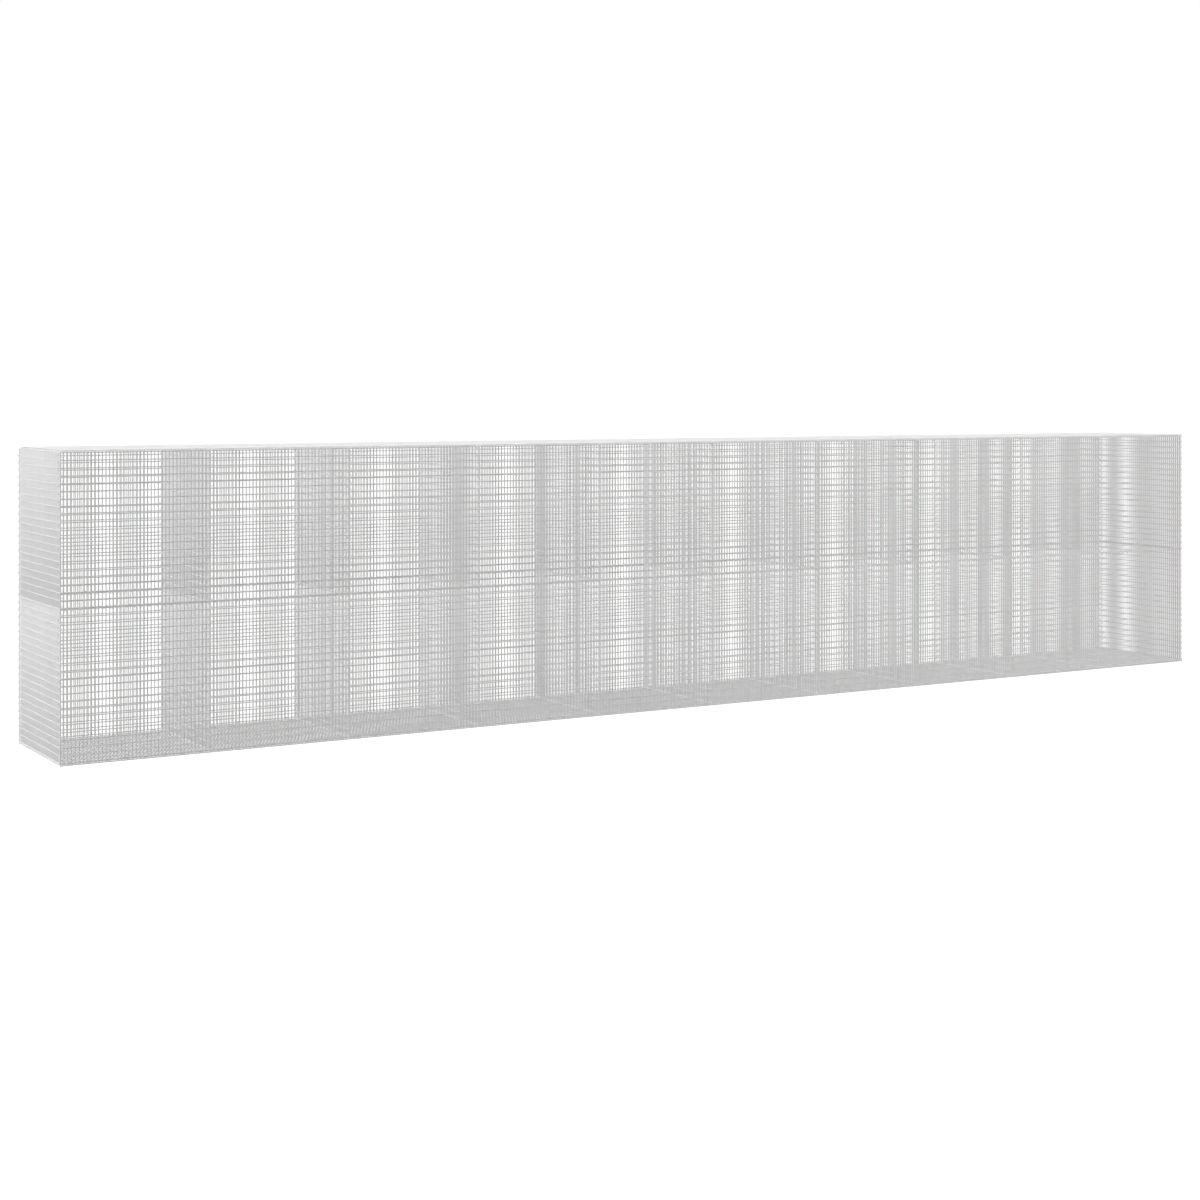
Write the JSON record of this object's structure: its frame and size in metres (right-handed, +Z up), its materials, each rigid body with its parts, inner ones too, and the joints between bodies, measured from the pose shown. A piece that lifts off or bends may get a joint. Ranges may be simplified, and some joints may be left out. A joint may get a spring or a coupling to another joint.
{
  "type": "gabion wall",
  "caption": "Long empty gabion wall of welded wire mesh: bays in a row, stacked tiers of panels, cross dividers, mesh floor and hinged mesh lids bound with wire spirals.",
  "frame": {"origin": "middle of the wall's footprint, on the floor that it stands on", "axes": "+X along the wall to the right as seen from the front, +Y from the front to the back, +Z up"},
  "size_m": [10.0188, 1.0146, 2.0153],
  "materials": {
    "mesh_wire": "satin",
    "binder_wire": "satin"
  },
  "bodies": {
    "wall": {"front_panel_1": "mesh_wire", "front_panel_2": "mesh_wire", "front_panel_3": "mesh_wire", "front_panel_4": "mesh_wire", "front_panel_5": "mesh_wire", "front_panel_6": "mesh_wire", "front_panel_7": "mesh_wire", "front_panel_8": "mesh_wire", "front_panel_9": "mesh_wire", "front_panel_10": "mesh_wire", "back_panel_1": "mesh_wire", "back_panel_2": "mesh_wire", "back_panel_3": "mesh_wire", "back_panel_4": "mesh_wire", "back_panel_5": "mesh_wire", "back_panel_6": "mesh_wire", "back_panel_7": "mesh_wire", "back_panel_8": "mesh_wire", "back_panel_9": "mesh_wire", "back_panel_10": "mesh_wire", "divider_1": "mesh_wire", "divider_2": "mesh_wire", "divider_3": "mesh_wire", "divider_4": "mesh_wire", "divider_5": "mesh_wire", "divider_6": "mesh_wire", "divider_7": "mesh_wire", "divider_8": "mesh_wire", "divider_9": "mesh_wire", "left_end_panel": "mesh_wire", "right_end_panel": "mesh_wire", "base_panels": "mesh_wire", "seam_spirals": "binder_wire", "tier_spirals": "binder_wire", "lid_spirals": "binder_wire"},
    "lid_1": {"lid_1": "mesh_wire"},
    "lid_2": {"lid_2": "mesh_wire"},
    "lid_3": {"lid_3": "mesh_wire"},
    "lid_4": {"lid_4": "mesh_wire"},
    "lid_5": {"lid_5": "mesh_wire"},
    "lid_6": {"lid_6": "mesh_wire"},
    "lid_7": {"lid_7": "mesh_wire"},
    "lid_8": {"lid_8": "mesh_wire"},
    "lid_9": {"lid_9": "mesh_wire"},
    "lid_10": {"lid_10": "mesh_wire"}
  },
  "joints": [
    {"name": "lid_1_hinge", "type": "hinge", "parent": "wall", "child": "lid_1", "pos_m": [-4.5, 0.493, 2.0048], "axis": [-1, 0, 0], "range_deg": [0, 180]},
    {"name": "lid_2_hinge", "type": "hinge", "parent": "wall", "child": "lid_2", "pos_m": [-3.5, 0.493, 2.0048], "axis": [-1, 0, 0], "range_deg": [0, 180]},
    {"name": "lid_3_hinge", "type": "hinge", "parent": "wall", "child": "lid_3", "pos_m": [-2.5, 0.493, 2.0048], "axis": [-1, 0, 0], "range_deg": [0, 180]},
    {"name": "lid_4_hinge", "type": "hinge", "parent": "wall", "child": "lid_4", "pos_m": [-1.5, 0.493, 2.0048], "axis": [-1, 0, 0], "range_deg": [0, 180]},
    {"name": "lid_5_hinge", "type": "hinge", "parent": "wall", "child": "lid_5", "pos_m": [-0.5, 0.493, 2.0048], "axis": [-1, 0, 0], "range_deg": [0, 180]},
    {"name": "lid_6_hinge", "type": "hinge", "parent": "wall", "child": "lid_6", "pos_m": [0.5, 0.493, 2.0048], "axis": [-1, 0, 0], "range_deg": [0, 180]},
    {"name": "lid_7_hinge", "type": "hinge", "parent": "wall", "child": "lid_7", "pos_m": [1.5, 0.493, 2.0048], "axis": [-1, 0, 0], "range_deg": [0, 180]},
    {"name": "lid_8_hinge", "type": "hinge", "parent": "wall", "child": "lid_8", "pos_m": [2.5, 0.493, 2.0048], "axis": [-1, 0, 0], "range_deg": [0, 180]},
    {"name": "lid_9_hinge", "type": "hinge", "parent": "wall", "child": "lid_9", "pos_m": [3.5, 0.493, 2.0048], "axis": [-1, 0, 0], "range_deg": [0, 180]},
    {"name": "lid_10_hinge", "type": "hinge", "parent": "wall", "child": "lid_10", "pos_m": [4.5, 0.493, 2.0048], "axis": [-1, 0, 0], "range_deg": [0, 180]}
  ]
}
